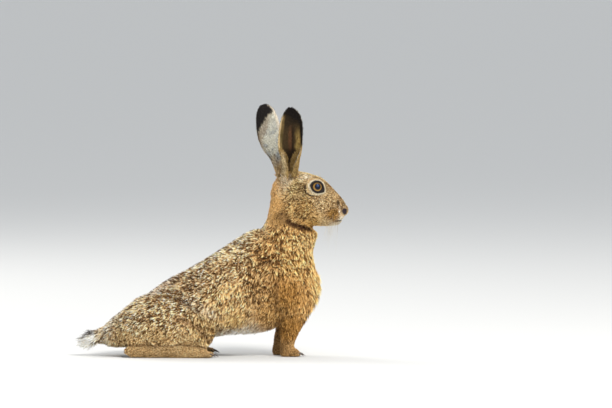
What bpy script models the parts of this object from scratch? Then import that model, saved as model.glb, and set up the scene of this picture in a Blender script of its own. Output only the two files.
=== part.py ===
"""A life-size brown hare sitting up and alert, as a still display model.

The animal faces +X, +Y is its left side and +Z is up. The soles of its four feet are cut flat at Z = 0, and the
origin is under the middle of the finished model. Sizes in the tables are millimetres and are scaled by MM.
The whole animal is built from overlapping lofts and ellipsoids, fused into one surface, and then parted into named
pieces by closed volumes, with the gap that touching pieces keep between them.
"""

import math

import bmesh
import bpy
from mathutils import Matrix, Vector
from mathutils.bvhtree import BVHTree

MM = 0.001
GAP = 0.0003

# Overall sizes of the animal, out to the tips of the coat
EAR_LENGTH = 129.0
EYE_RADIUS = 10.6
EYE_CENTRE = (170.0, 16.8, 287.8)
EYE_FORWARD = 14.0
EYE_UPWARD = 6.0
LID_LONG = 11.6
LID_HIGH = 8.9
LID_TILT = -17.0
SOLE_LEVEL = 0.0

# How finely the fused surface is made, and how many triangles it keeps
VOXEL = 1.7 * MM
FLESH_TRIANGLES = 6000

# Which way each side's forefoot steps from the middle stance
FORE_STEP = {"right": 7.0, "left": -8.0}
SIDES = {"left": 1.0, "right": -1.0}

COAT = (0.42, 0.29, 0.16)
COLOURS = {
    "coat": (COAT, 0.85),
    "nape": ((0.50, 0.28, 0.14), 0.85),
    "ear": ((0.36, 0.27, 0.18), 0.8),
    "tail": ((0.80, 0.78, 0.74), 0.85),
    "foot": ((0.50, 0.34, 0.20), 0.85),
    "eye": ((0.10, 0.05, 0.02), 0.08),
    "claw": ((0.12, 0.10, 0.09), 0.35),
}
NODE_MATERIALS = {
    "ear": "ear",
    "head": "coat",
    "neck": "nape",
    "tail": "tail",
    "foreleg": "foot",
    "hind": "foot",
    "haunch": "coat",
}

# The midline forms are given by their outline: top x, top z, bottom x, bottom z, half width, egg.
# Egg is how much wider the lower half of a section is than its middle.
TRUNK = [
    (-196, 38, -189, 19, 15, 0.0),
    (-188, 54, -180, 15, 29, 0.0),
    (-172, 69, -164, 14, 41, 0.05),
    (-148, 86, -138, 16, 50, 0.10),
    (-118, 106, -104, 18, 55, 0.14),
    (-84, 130, -62, 22, 56, 0.16),
    (-48, 149, -20, 30, 55, 0.18),
    (-12, 170, 24, 35, 53, 0.18),
    (22, 192, 66, 37, 51, 0.14),
    (52, 211, 98, 46, 47, 0.08),
    (78, 218, 132, 72, 44, 0.04),
    (96, 214, 160, 106, 38, 0.0),
]
NECK = [
    (62, 196, 150, 108, 40, 0.0),
    (76, 216, 168, 144, 41, 0.0),
    (84, 231, 165, 176, 37, 0.0),
    (88, 243, 169, 193, 33, 0.0),
    (90.5, 256, 171, 210, 29, 0.0),
    (92, 269, 154, 230, 25, 0.0),
    (94, 282, 128, 252, 22, 0.0),
    (97, 294, 120, 272, 20, 0.0),
    (103, 302, 120, 288, 17, 0.0),
]
HEAD = [
    (99, 288, 105, 254, 13, 0.0),
    (105, 301, 112, 241, 21, 0.0),
    (118, 311, 124, 231, 26, 0.06),
    (136, 315, 142, 225.5, 28.5, 0.10),
    (151, 313, 158, 222, 28, 0.12),
    (164, 309, 172, 220.5, 25.5, 0.12),
    (175.5, 304.5, 183, 220.5, 22.5, 0.10),
    (186.5, 298, 191, 220.5, 19.2, 0.08),
    (195.5, 289, 198, 221, 16.6, 0.06),
    (203.5, 280.5, 204.5, 222.5, 14.6, 0.05),
    (211.5, 271.5, 210.5, 226, 12.8, 0.03),
    (217.5, 264, 215, 232, 11, 0.0),
    (221.5, 256, 218, 239, 8, 0.0),
]
TAIL = [
    (-168, 60, -172, 32, 13, 0.0),
    (-187, 54, -190, 24, 14, 0.0),
    (-202, 48, -204, 17, 14, 0.0),
    (-216, 41, -217, 13, 13, 0.0),
    (-227, 33, -226, 14, 9, 0.0),
]

# The limbs are given along their path: x, y out, z, half depth, half width
FORELIMB = [
    (84, 30, 178, 25, 12),
    (98, 33, 152, 36, 15),
    (116, 34, 126, 40, 17),
    (130, 33, 104, 36, 18),
    (132, 30, 84, 29, 17),
    (127, 27, 64, 22, 15),
    (121, 25, 44, 16.5, 12.5),
    (116, 24, 27, 13, 11.5),
    (114, 24, 12, 12, 12),
]
FOREPAW = [
    (108, 24, 8, 9, 11),
    (118, 24, 7.5, 9.5, 12.5),
    (128, 24, 6.5, 8, 13),
]
FORE_STEP_TOP = 110.0
HAUNCH = [
    (-150, 38, 50, 30, 18),
    (-124, 45, 58, 42, 23),
    (-90, 48, 61, 48, 25),
    (-56, 49, 54, 45, 24),
    (-28, 49, 44, 31, 21),
    (-14, 48, 37, 18, 16),
]
SHANK = [
    (-143, 50, 25, 10, 10),
    (-110, 51, 26, 17, 14),
    (-60, 51, 26, 18, 15),
    (-22, 50, 26, 15, 14),
]
HIND_FOOT = [
    (-153, 52, 11.5, 6, 6),
    (-146, 52, 11, 9.5, 9),
    (-132, 52, 10.5, 11, 11),
    (-92, 52, 9.5, 11, 12),
    (-52, 53, 8.5, 10.5, 13.5),
    (-28, 54, 7.0, 9, 14),
]
FORE_TOES = {"root": (122, 24, 5.0), "reach": 17, "spread": 6.2, "radius": 4.6}
HIND_TOES = {"root": (-30, 54.5, 5.4), "reach": 29, "spread": 7.0, "radius": 5.3}
TOE_SHARES = (0.84, 1.0, 0.97, 0.80)
CLAW_TIP_HEIGHT = 1.6


def clear_scene():
    for obj in list(bpy.data.objects):
        bpy.data.objects.remove(obj)


def new_collection(name):
    made = bpy.data.collections.new(name)
    bpy.context.scene.collection.children.link(made)
    return made


def make_material(name):
    colour, roughness = COLOURS[name]
    made = bpy.data.materials.new(name)
    made.use_nodes = True
    shader = made.node_tree.nodes["Principled BSDF"]
    shader.inputs["Base Color"].default_value = (*colour, 1.0)
    shader.inputs["Roughness"].default_value = roughness
    shader.inputs["Metallic"].default_value = 0.0
    made.diffuse_color = (*colour, 1.0)
    return made


def new_object(name, mesh, collection):
    obj = bpy.data.objects.new(name, mesh)
    collection.objects.link(obj)
    return obj


def mesh_from(bm, name):
    bmesh.ops.recalc_face_normals(bm, faces=bm.faces)
    mesh = bpy.data.meshes.new(name)
    bm.to_mesh(mesh)
    bm.free()
    return mesh


def applied(obj):
    """Replaces the object's mesh by its evaluated one and drops its modifiers."""
    bpy.context.view_layer.update()
    graph = bpy.context.evaluated_depsgraph_get()
    mesh = bpy.data.meshes.new_from_object(obj.evaluated_get(graph))
    obj.modifiers.clear()
    obj.data = mesh
    return obj


def smooth_row(rows, steps):
    """Catmull-Rom rows between the given ones, the given ones included."""
    padded = [rows[0]] + list(rows) + [rows[-1]]
    made = []
    for i in range(1, len(padded) - 2):
        a, b, c, d = (padded[i + k] for k in (-1, 0, 1, 2))
        for step in range(steps):
            t = step / steps
            made.append(tuple(
                0.5 * (2 * q + (r - p) * t + (2 * p - 5 * q + 4 * r - s) * t * t + (3 * q - p - 3 * r + s) * t ** 3)
                for p, q, r, s in zip(a, b, c, d)
            ))
    made.append(tuple(rows[-1]))
    return made


def loft(bm, rows, sides=28, steps=4, power=2.15):
    """Adds a closed tube with rounded ends to bm.

    Each row is the section's middle x, y, z, its half depth as x, z, its half width and its egg, in millimetres.
    """
    rows = smooth_row(rows, steps)
    rows = end_cap(rows[0], rows[1])[::-1] + rows + end_cap(rows[-1], rows[-2])
    loops = []
    for x, y, z, deep_x, deep_z, half_wide, egg in rows:
        loop = []
        for k in range(sides):
            angle = 2 * math.pi * k / sides
            up, out = math.sin(angle), math.cos(angle)
            up = math.copysign(abs(up) ** (2 / power), up)
            out = math.copysign(abs(out) ** (2 / power), out) * (1 - egg * up)
            point = Vector((x + deep_x * up, y + half_wide * out, z + deep_z * up))
            loop.append(bm.verts.new(point * MM))
        loops.append(loop)
    for first, second in zip(loops, loops[1:]):
        for k in range(sides):
            n = (k + 1) % sides
            bm.faces.new((first[k], first[n], second[n], second[k]))
    bm.faces.new(loops[0][::-1])
    bm.faces.new(loops[-1])


def end_cap(end, inner):
    """Three shrinking rows past an end, which round it off."""
    away = Vector(end[:3]) - Vector(inner[:3])
    away.normalize()
    reach = 0.75 * min(math.hypot(end[3], end[4]), end[5])
    made = []
    for angle in (25, 50, 72):
        size = math.cos(math.radians(angle))
        past = Vector(end[:3]) + away * (reach * math.sin(math.radians(angle)))
        made.append((*past, end[3] * size, end[4] * size, end[5] * size, end[6]))
    return made


def ellipsoid(bm, centre, radii, pitch=0.0, yaw=0.0, segments=28, rings=18):
    """Adds an ellipsoid. Pitch turns its nose down about Y, yaw about Z, in degrees; sizes are millimetres."""
    turn = Matrix.Rotation(math.radians(yaw), 4, "Z") @ Matrix.Rotation(math.radians(pitch), 4, "Y")
    shape = Matrix.Translation(Vector(centre) * MM) @ turn @ Matrix.Diagonal((*(r * MM for r in radii), 1))
    bmesh.ops.create_uvsphere(bm, u_segments=segments, v_segments=rings, radius=1.0, matrix=shape)


def in_plane(rows):
    """Outline rows as loft rows on the middle plane."""
    made = []
    for top_x, top_z, low_x, low_z, wide, egg in rows:
        middle = ((top_x + low_x) / 2, 0.0, (top_z + low_z) / 2)
        made.append((*middle, (top_x - low_x) / 2, (top_z - low_z) / 2, wide, egg))
    return made


def along_path(rows):
    """Rows of x, y, z, half depth, half width as loft rows whose sections lie across their path."""
    made = []
    for i, (x, y, z, deep, wide) in enumerate(rows):
        ahead = Vector(rows[min(i + 1, len(rows) - 1)][:3]) - Vector(rows[max(i - 1, 0)][:3])
        length = math.hypot(ahead.x, ahead.z)
        made.append((x, y, z, -deep * ahead.z / length, deep * ahead.x / length, wide, 0.0))
    return made


def on_side(rows, side, step=0.0):
    """Limb rows on one side as loft rows, stepped forward more the lower they are."""
    made = []
    for x, out, z, deep, wide in rows:
        share = max(0.0, min(1.0, (FORE_STEP_TOP - z) / FORE_STEP_TOP))
        made.append((x + step * share, side * out, z, deep, wide))
    return along_path(made)


def toe_axes(toes, side, step=0.0):
    """For each of four toes side by side, its root and its tip as vectors in millimetres."""
    x, out, z = toes["root"]
    made = []
    for k, share in enumerate(TOE_SHARES):
        off = side * (1.5 - k) * toes["spread"]
        root = Vector((x + step, side * out + off * 0.85, z))
        made.append((root, Vector((x + step + toes["reach"] * share, side * out + off * 1.08, z))))
    return made


def add_toes(bm, toes, side, step=0.0):
    radius = toes["radius"]
    for root, tip in toe_axes(toes, side, step):
        middle = root.lerp(tip, 0.5)
        rows = [
            (root.x - 6, root.y, root.z + 1.5, radius, radius),
            (middle.x, middle.y, middle.z + 0.8, radius * 1.05, radius),
            (tip.x - radius, tip.y, tip.z, radius * 0.94, radius * 0.94),
        ]
        loft(bm, along_path(rows), sides=14, steps=3, power=2.0)


# Fullness over the trunk and the head: middle (x, y out, z), half sizes, pitch and yaw in degrees
BREAST = ((134, 0, 126), (41, 44, 62), -6, 0)
TRUNK_SIDES = {
    "shoulder": ((98, 17, 152), (46, 30, 56), -24, 0),
    "haunch": ((-68, 27, 66), (74, 37, 44), -14, 0),
    "haunch_rear": ((-112, 28, 58), (52, 35, 38), -14, 0),
}
HEAD_SIDES = {
    "cheek": ((140, 12.5, 252), (29, 17.5, 27), 24, 0),
    "brow": ((160, 11, 296.5), (20, 9, 7), 18, -14),
    "whisker_pad": ((205, 6.8, 240.5), (13, 8.6, 12.5), 14, 0),
    "lids": ((169.5, 15.8, 287.3), (17, 12.5, 15), 0, -14),
    "eye_bed": ((168, 11.8, 285.8), (25, 11.5, 21), 22, -14),
}
CHIN = ((200, 0, 228.3), (13.0, 8.0, 6.8), 4, 0)
NOSE_TIP = ((217.0, 0, 248.5), (6.0, 7.8, 8.2), 0, 0)


def swelling(bm, form, side=1):
    (x, y, z), half_sizes, pitch, yaw = form
    ellipsoid(bm, (x, side * y, z), half_sizes, pitch=pitch, yaw=side * yaw)


def add_trunk(bm):
    loft(bm, in_plane(TRUNK), sides=36)
    loft(bm, in_plane(NECK), sides=32)
    swelling(bm, BREAST)
    for side in SIDES.values():
        for form in TRUNK_SIDES.values():
            swelling(bm, form, side)


def add_head(bm):
    loft(bm, in_plane(HEAD), sides=36, power=2.3)
    for name, side in SIDES.items():
        for form in HEAD_SIDES.values():
            swelling(bm, form, side)
        add_ear_root(bm, name)
    swelling(bm, CHIN)
    swelling(bm, NOSE_TIP)


# Ears: for each side the middle of the base, the lean forward and outward, how far the cup turns to the front,
# how far the middle of the ear bows towards the nose, and how much wider its rear margin is at shares of its length
EARS = {
    "right": {"base": (123.5, 14.5, 302.0), "forward": 1.2, "outward": 20.5, "turn": 6.0, "bow": 1.0},
    "left": {"base": (114.5, 14.5, 303.0), "forward": -15.4, "outward": 6.0, "turn": 12.0, "bow": -4.0},
}
EAR_REAR = {
    "right": [(-0.2, 0.0), (1.0, 0.0)],
    "left": [(-0.2, -2.5), (0.1, -3.4), (0.25, -4.4), (0.43, -2.4), (0.6, 0.8), (0.78, 1.6), (0.92, 2.6), (1.0, 1.6)],
}
# Share of the length, half width ahead and across of the furred stalk that the cup grows out of
EAR_ROOT = [(-0.24, 19.5, 17.0), (-0.16, 17.8, 16.0), (-0.09, 16.4, 15.0), (-0.06, 15.4, 14.4)]
EAR_THICK = 2.2
EAR_CUT = 0.045
# Share of the length, half width to the front and to the back of the axis, cup depth, half angle of the open arc
EAR_PROFILE = [
    (-0.10, 12.0, 11.0, 11.5, 171),
    (0.06, 13.6, 12.0, 12.5, 171),
    (0.12, 14.4, 12.0, 12.8, 168),
    (0.16, 14.8, 12.2, 12.8, 166),
    (0.22, 15.2, 12.6, 12.6, 157),
    (0.29, 16.4, 13.9, 12.4, 140),
    (0.37, 18.4, 18.0, 12.0, 112),
    (0.46, 19.6, 19.8, 11.4, 94),
    (0.54, 20.3, 20.1, 10.6, 88),
    (0.63, 21.0, 19.5, 9.6, 84),
    (0.71, 21.0, 18.0, 8.6, 80),
    (0.80, 20.2, 16.0, 7.4, 77),
    (0.88, 17.4, 13.2, 6.0, 75),
    (0.94, 12.6, 9.4, 4.4, 73),
    (0.98, 7.0, 5.6, 2.8, 71),
    (1.00, 2.8, 2.4, 1.4, 70),
]


def table_at(table, share):
    """The row of a table at a share, between its given rows."""
    for low, high in zip(table, table[1:]):
        if share <= high[0]:
            part = max(0.0, (share - low[0]) / (high[0] - low[0]))
            return [a + (b - a) * part for a, b in zip(low[1:], high[1:])]
    return table[-1][1:]


def ear_frame(name):
    """(base, along, open, ahead) of an ear, as vectors: base in millimetres, the rest of unit length."""
    ear, side = EARS[name], SIDES[name]
    base = Vector((ear["base"][0], side * ear["base"][1], ear["base"][2]))
    forward, outward = math.radians(ear["forward"]), math.radians(ear["outward"])
    along = Vector((math.tan(forward), side * math.tan(outward), 1.0)).normalized()
    turn = math.radians(ear["turn"])
    face = Vector((math.sin(turn), side * math.cos(turn), 0.0))
    opening = (face - along * face.dot(along)).normalized()
    ahead = opening.cross(along).normalized()
    if ahead.x < 0:
        ahead = -ahead
    return base, along, opening, ahead


def ear_point(name, share, off_ahead, off_open):
    base, along, opening, ahead = ear_frame(name)
    bow = EARS[name]["bow"] * math.sin(math.pi * max(0.0, share))
    return base + along * (EAR_LENGTH * share) + ahead * (off_ahead + bow) + opening * off_open


def add_ear_root(bm, name):
    """The furred stalk out of which the cup grows."""
    rows = []
    for share, deep, wide in EAR_ROOT:
        slim = table_at(EAR_REAR[name], share)[0] / 2
        rows.append((*ear_point(name, share, 0.8 - slim, 0.0), deep + slim, wide))
    loft(bm, along_path(rows), sides=24, steps=3, power=2.1)


def ear_shell(name, collection):
    """The cup of an ear as an open sheet with a wall's thickness, closed to a tube below its notch."""
    rows, columns = 16, 10
    bm = bmesh.new()
    grid = []
    for i in range(rows + 1):
        share = -0.06 + 1.06 * math.sin(0.5 * math.pi * i / rows) ** 0.9
        front, back, depth, angle = table_at(EAR_PROFILE, share)
        back += table_at(EAR_REAR[name], share)[0]
        reach = math.radians(angle)
        edge = math.sin(min(reach, math.pi / 2))
        line = []
        for j in range(columns + 1):
            turn = (-1 + 2 * j / columns) * reach
            half_wide = front if turn > 0 else back
            point = ear_point(name, share, half_wide * math.sin(turn) / edge, -depth * math.cos(turn))
            line.append(bm.verts.new(point * MM))
        grid.append(line)
    for i in range(rows):
        for j in range(columns):
            bm.faces.new((grid[i][j], grid[i][j + 1], grid[i + 1][j + 1], grid[i + 1][j]))
    obj = new_object(f"ear_shell_{name}", mesh_from(bm, "ear_shell"), collection)
    wall = obj.modifiers.new("wall", "SOLIDIFY")
    wall.thickness = EAR_THICK * MM
    wall.offset = 0.0
    return applied(obj)


def add_limbs(bm):
    for name, side in SIDES.items():
        step = FORE_STEP[name]
        loft(bm, on_side(FORELIMB, side, step), sides=26)
        loft(bm, on_side(FOREPAW, side, step), sides=22)
        add_toes(bm, FORE_TOES, side, step)
        loft(bm, on_side(HAUNCH, side), sides=28)
        loft(bm, on_side(SHANK, side), sides=22)
        loft(bm, on_side(HIND_FOOT, side), sides=22)
        add_toes(bm, HIND_TOES, side)


def fused_flesh(collection):
    """All lofts and ellipsoids as one smooth closed surface, cut flat under the feet, with few triangles."""
    bm = bmesh.new()
    add_trunk(bm)
    add_head(bm)
    add_limbs(bm)
    loft(bm, in_plane(TAIL), sides=24)
    obj = new_object("flesh", mesh_from(bm, "flesh"), collection)
    fuse = obj.modifiers.new("fuse", "REMESH")
    fuse.mode = "VOXEL"
    fuse.voxel_size = VOXEL
    soften = obj.modifiers.new("soften", "SMOOTH")
    soften.factor = 0.5
    soften.iterations = 18
    applied(obj)
    thin = obj.modifiers.new("thin", "DECIMATE")
    thin.ratio = FLESH_TRIANGLES / (2 * len(obj.data.polygons))
    thin.use_collapse_triangulate = True
    applied(obj)
    return obj


def box_object(name, low, high, collection):
    bm = bmesh.new()
    size = Vector(high) - Vector(low)
    middle = (Vector(high) + Vector(low)) / 2
    shape = Matrix.Translation(middle * MM) @ Matrix.Diagonal((*(size * MM), 1))
    bmesh.ops.create_cube(bm, size=1.0, matrix=shape)
    return new_object(name, mesh_from(bm, name), collection)


def boolean(obj, cutters, operation, collection):
    """Applies one Boolean with every cutter in turn, then removes the cutters."""
    holder = new_collection("operands")
    for cutter in cutters:
        collection.objects.unlink(cutter)
        holder.objects.link(cutter)
    cut = obj.modifiers.new("cut", "BOOLEAN")
    cut.operation = operation
    cut.operand_type = "COLLECTION"
    cut.collection = holder
    cut.solver = "EXACT"
    applied(obj)
    for cutter in cutters:
        bpy.data.objects.remove(cutter)
    bpy.data.collections.remove(holder)
    return obj


def eye_frame(side):
    """Centre in millimetres, then the unit vectors out of the eye, along its lids towards the nose, and up."""
    x, y, z = EYE_CENTRE
    centre = Vector((x, side * y, z))
    yaw, rise = math.radians(EYE_FORWARD), math.radians(EYE_UPWARD)
    out = Vector((math.sin(yaw) * math.cos(rise), side * math.cos(yaw) * math.cos(rise), math.sin(rise)))
    level = Vector((out.y, -out.x, 0.0)).normalized()
    if level.x < 0:
        level = -level
    upright = level.cross(out)
    if upright.z < 0:
        upright = -upright
    tilt = math.radians(LID_TILT)
    along = level * math.cos(tilt) + upright * math.sin(tilt)
    across = upright * math.cos(tilt) - level * math.sin(tilt)
    return centre, out, along, across


def lid_outline(count=20):
    """Almond outline of the opening between the lids, as pairs along and across it."""
    points = []
    for k in range(count):
        angle = 2 * math.pi * k / count
        along = math.cos(angle)
        across = math.sin(angle) * (1 - 0.22 * along * along)
        points.append((LID_LONG * along, LID_HIGH * across))
    return points


def eye_ball(name, side, extra, collection):
    """A ball for the eye, or with extra millimetres on its radius for the socket."""
    centre, out, along, across = eye_frame(side)
    turn = Matrix((along, across, along.cross(across))).transposed().to_4x4()
    bm = bmesh.new()
    shape = Matrix.Translation(centre * MM) @ turn
    bmesh.ops.create_uvsphere(bm, u_segments=18, v_segments=10, radius=(EYE_RADIUS + extra) * MM, matrix=shape)
    return new_object(name, mesh_from(bm, name), collection)


def lid_opening(side, collection):
    """The almond prism that opens the lids from the middle of the eye outwards."""
    centre, out, along, across = eye_frame(side)
    bm = bmesh.new()
    loops = []
    for depth, grow in ((2.0, 0.62), (EYE_RADIUS + 8.0, 1.12)):
        loops.append([
            bm.verts.new((centre + out * depth + along * (a * grow) + across * (b * grow)) * MM)
            for a, b in lid_outline()
        ])
    for k in range(len(loops[0])):
        n = (k + 1) % len(loops[0])
        bm.faces.new((loops[0][k], loops[0][n], loops[1][n], loops[1][k]))
    bm.faces.new(loops[0][::-1])
    bm.faces.new(loops[1])
    return new_object("lid_opening", mesh_from(bm, "lid_opening"), collection)


def lid_rims(side, collection):
    """A thin raised rim round the opening, one closed ring."""
    centre, out, along, across = eye_frame(side)
    bm = bmesh.new()
    points = []
    for a, b in lid_outline():
        flat = along * (a * 1.08) + across * (b * 1.08)
        height = math.sqrt(max(0.0, (EYE_RADIUS + 1.0) ** 2 - flat.length ** 2))
        points.append(centre + out * height + flat)
    ring_sides, ring_radius = 6, 1.35
    loops = []
    for k, point in enumerate(points):
        ahead = (points[(k + 1) % len(points)] - points[k - 1]).normalized()
        away = (point - centre).normalized()
        beside = ahead.cross(away).normalized()
        loops.append([
            bm.verts.new((point + away * (ring_radius * math.sin(2 * math.pi * s / ring_sides))
                          + beside * (ring_radius * math.cos(2 * math.pi * s / ring_sides))) * MM)
            for s in range(ring_sides)
        ])
    for k, loop in enumerate(loops):
        following = loops[(k + 1) % len(loops)]
        for s in range(ring_sides):
            n = (s + 1) % ring_sides
            bm.faces.new((loop[s], loop[n], following[n], following[s]))
    return new_object("lid_rim", mesh_from(bm, "lid_rim"), collection)


def groove(name, points, radius, collection):
    """A thin tube through points in metres, to cut a line with."""
    curve = bpy.data.curves.new(name, "CURVE")
    curve.dimensions = "3D"
    curve.bevel_depth = radius * MM
    curve.bevel_resolution = 1
    curve.use_fill_caps = True
    spline = curve.splines.new("POLY")
    spline.points.add(len(points) - 1)
    for target, point in zip(spline.points, points):
        target.co = (*point, 1.0)
    obj = new_object(name, curve, collection)
    bpy.context.view_layer.update()
    mesh = bpy.data.meshes.new_from_object(obj.evaluated_get(bpy.context.evaluated_depsgraph_get()))
    bpy.data.objects.remove(obj)
    bm = bmesh.new()
    bm.from_mesh(mesh)
    bmesh.ops.remove_doubles(bm, verts=bm.verts, dist=0.00001)
    return new_object(name, mesh_from(bm, name), collection)


def face_cutters(flesh, collection):
    """Sockets, lids' openings, nostrils, the cleft under the nose and the line of the mouth."""
    bpy.context.view_layer.update()
    surface = BVHTree.FromObject(flesh, bpy.context.evaluated_depsgraph_get())
    cutters = []
    for side in SIDES.values():
        cutters.append(eye_ball("socket", side, GAP / MM, collection))
        cutters.append(lid_opening(side, collection))
        bm = bmesh.new()
        ellipsoid(bm, (220.0, side * 6.6, 246.5), (4.4, 1.7, 3.0), pitch=-38, yaw=side * 38, segments=12, rings=8)
        cutters.append(new_object("nostril", mesh_from(bm, "nostril"), collection))
    mouth = []
    for k in range(-6, 7):
        share = k / 6
        swing = math.radians(104) * share
        middle = Vector((203.0, 0.0, 232.6))
        guess = middle + Vector((22 * math.cos(swing), 18 * math.sin(swing), -2.6 * abs(share) ** 1.5))
        hit = surface.find_nearest(guess * MM)[0]
        mouth.append(hit)
    cutters.append(groove("mouth", mouth, 0.75, collection))
    cleft = []
    for height in (245.0, 241.5, 238.0, 235.0, 231.8):
        start = Vector((240.0, 0.0, height)) * MM
        hit = surface.ray_cast(start, Vector((-1, 0, 0)))[0]
        cleft.append(hit)
    cutters.append(groove("cleft", cleft, 0.7, collection))
    cutters += [claw(root, tip, GAP / MM, collection) for root, tip in claw_axes()]
    cutters.append(box_object("ground", (-300, -150, -40), (300, 150, SOLE_LEVEL), collection))
    return cutters


def claw_axes():
    """Root and tip of each of the sixteen claws, in millimetres."""
    made = []
    for name, side in SIDES.items():
        for toes, step in ((FORE_TOES, FORE_STEP[name]), (HIND_TOES, 0.0)):
            for root, tip in toe_axes(toes, side, step):
                made.append((tip + Vector((-4.0, 0, 1.6)), tip + Vector((5.6, 0, CLAW_TIP_HEIGHT - tip.z))))
    return made


def claw(root, tip, extra, collection):
    """A claw bent downwards, or with extra millimetres all round the pocket it sits in."""
    sides = 6
    ahead = (tip - root).normalized()
    rows = []
    for share, radius in ((0.0, 1.5), (0.55, 1.1), (1.0, 0.3)):
        lift = 0.9 * math.sin(math.pi * share)
        start = -extra if share == 0 else 0.0
        rows.append((root.lerp(tip, share) + ahead * start + Vector((0, 0, lift)), radius + extra))
    bm = bmesh.new()
    loops = []
    for point, radius in rows:
        loop = []
        for k in range(sides):
            angle = 2 * math.pi * k / sides
            around = Vector((0, radius * math.cos(angle), radius * math.sin(angle)))
            loop.append(bm.verts.new((point + around) * MM))
        loops.append(loop)
    for first, second in zip(loops, loops[1:]):
        for k in range(sides):
            n = (k + 1) % sides
            bm.faces.new((first[k], first[n], second[n], second[k]))
    bm.faces.new(loops[0][::-1])
    bm.faces.new(loops[-1])
    return new_object("claw", mesh_from(bm, "claw"), collection)


def prism(outline, low_y, high_y):
    """A closed block: an outline of x, z points swept sideways from low_y to high_y."""
    bm = bmesh.new()
    near = [bm.verts.new(Vector((x, low_y, z)) * MM) for x, z in outline]
    far = [bm.verts.new(Vector((x, high_y, z)) * MM) for x, z in outline]
    for k in range(len(outline)):
        n = (k + 1) % len(outline)
        bm.faces.new((near[k], near[n], far[n], far[k]))
    bm.faces.new(near[::-1])
    bm.faces.new(far)
    return bm


def ear_cone(name):
    """A cone that holds an ear above the level at which it is parted from the head."""
    base, along, opening, ahead = ear_frame(name)
    turn = Matrix((ahead, along.cross(ahead), along)).transposed().to_4x4()
    low, high = EAR_LENGTH * EAR_CUT, EAR_LENGTH * 1.15
    middle = base + along * ((low + high) / 2)
    bm = bmesh.new()
    shape = Matrix.Translation(middle * MM) @ turn
    sizes = {"radius1": EAR_CONE[0] * MM, "radius2": EAR_CONE[1] * MM, "depth": (high - low) * MM}
    bmesh.ops.create_cone(bm, cap_ends=True, segments=28, matrix=shape, **sizes)
    return bm


# Outlines of the blocks that part the body, as x, z lines on the side view
JAW_LINE = [(60, 321), (88, 303), (103, 288), (107, 268), (112, 252), (124, 239), (140, 230), (156, 224), (176, 212)]
HEAD_BLOCK = JAW_LINE + [(260, 170), (260, 340), (60, 340)]
NECK_BLOCK = [(40, 224), (76, 213), (124, 204), (170, 184), (215, 160), (215, 250), (150, 330), (40, 330)]
TAIL_BLOCK = [(-206, 90), (-199, 34), (-195, -5), (-260, -5), (-260, 90)]
FORELEG_BLOCK = [(76, -5), (76, 30), (90, 40), (98, 52), (128, 63), (160, 62), (205, 58), (205, -5)]
FOOT_BLOCK = [(-200, -5), (-200, 22), (-70, 22), (-24, 15.5), (24, 12.5), (24, -5)]
HAUNCH_BALL = {"centre": (-78, 62, 58), "radii": (90, 35, 54), "pitch": 8}
EAR_CONE = (15.5, 36.0)


def blocks():
    """Each node's name with the closed volume that parts it from the rest, in the order they are parted."""
    for name in SIDES:
        yield f"ear_{name}", ear_cone(name)
    yield "head", prism(HEAD_BLOCK, -70, 70)
    yield "neck", prism(NECK_BLOCK, -80, 80)
    yield "tail", prism(TAIL_BLOCK, -40, 40)
    for name, side in SIDES.items():
        yield f"foreleg_{name}", prism(FORELEG_BLOCK, *sorted((side * 9, side * 75)))
        yield f"hind_foot_{name}", prism(FOOT_BLOCK, *sorted((side * 34, side * 95)))
        x, y, z = HAUNCH_BALL["centre"]
        bm = bmesh.new()
        ball = ((x, side * y, z), HAUNCH_BALL["radii"])
        ellipsoid(bm, *ball, pitch=HAUNCH_BALL["pitch"], segments=18, rings=12)
        yield f"haunch_{name}", bm


def keep_largest(obj):
    """Drops all but the largest closed surface of the object's mesh."""
    bm = bmesh.new()
    bm.from_mesh(obj.data)
    waiting = set(bm.verts)
    islands = []
    while waiting:
        island = {waiting.pop()}
        edge_of = list(island)
        while edge_of:
            near = {e.other_vert(v) for v in edge_of for e in v.link_edges} & waiting
            waiting -= near
            island |= near
            edge_of = list(near)
        islands.append(island)
    islands.sort(key=len)
    for island in islands[:-1]:
        bmesh.ops.delete(bm, geom=list(island), context="VERTS")
    bm.to_mesh(obj.data)
    bm.free()


def part_off(rest, name, bm, shop):
    """Takes what lies in the volume bm out of rest as a node of its own, a gap away from what stays."""
    bmesh.ops.triangulate(bm, faces=bm.faces)
    bmesh.ops.recalc_face_normals(bm, faces=bm.faces)
    smaller = bm.copy()
    for vertex in smaller.verts:
        vertex.co -= vertex.normal * (GAP * vertex.calc_shell_factor())
    outer = new_object("outer", mesh_from(bm, "outer"), shop)
    inner = new_object("inner", mesh_from(smaller, "inner"), shop)
    piece = new_object(name, rest.data.copy(), shop)
    boolean(piece, [inner], "INTERSECT", shop)
    boolean(rest, [outer], "DIFFERENCE", shop)
    keep_largest(piece)
    keep_largest(rest)
    return piece


def finish_node(obj, name, material, shop, parts):
    """Names a node, shades it smooth, gives it its material and files it with the parts."""
    obj.name = name
    obj.data.name = name
    obj.data.materials.clear()
    obj.data.materials.append(make_material(material))
    obj.data.shade_smooth()
    obj.data.set_sharp_from_angle(angle=math.radians(50))
    shop.objects.unlink(obj)
    parts.objects.link(obj)


def centre_on_origin(parts):
    """Moves the meshes so that the origin is under the middle of the whole."""
    corners = [v.co for obj in parts.objects for v in obj.data.vertices]
    low = [min(c[i] for c in corners) for i in range(3)]
    high = [max(c[i] for c in corners) for i in range(3)]
    shift = Vector((-(low[0] + high[0]) / 2, -(low[1] + high[1]) / 2, -low[2]))
    for obj in parts.objects:
        obj.data.transform(Matrix.Translation(shift))


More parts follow.
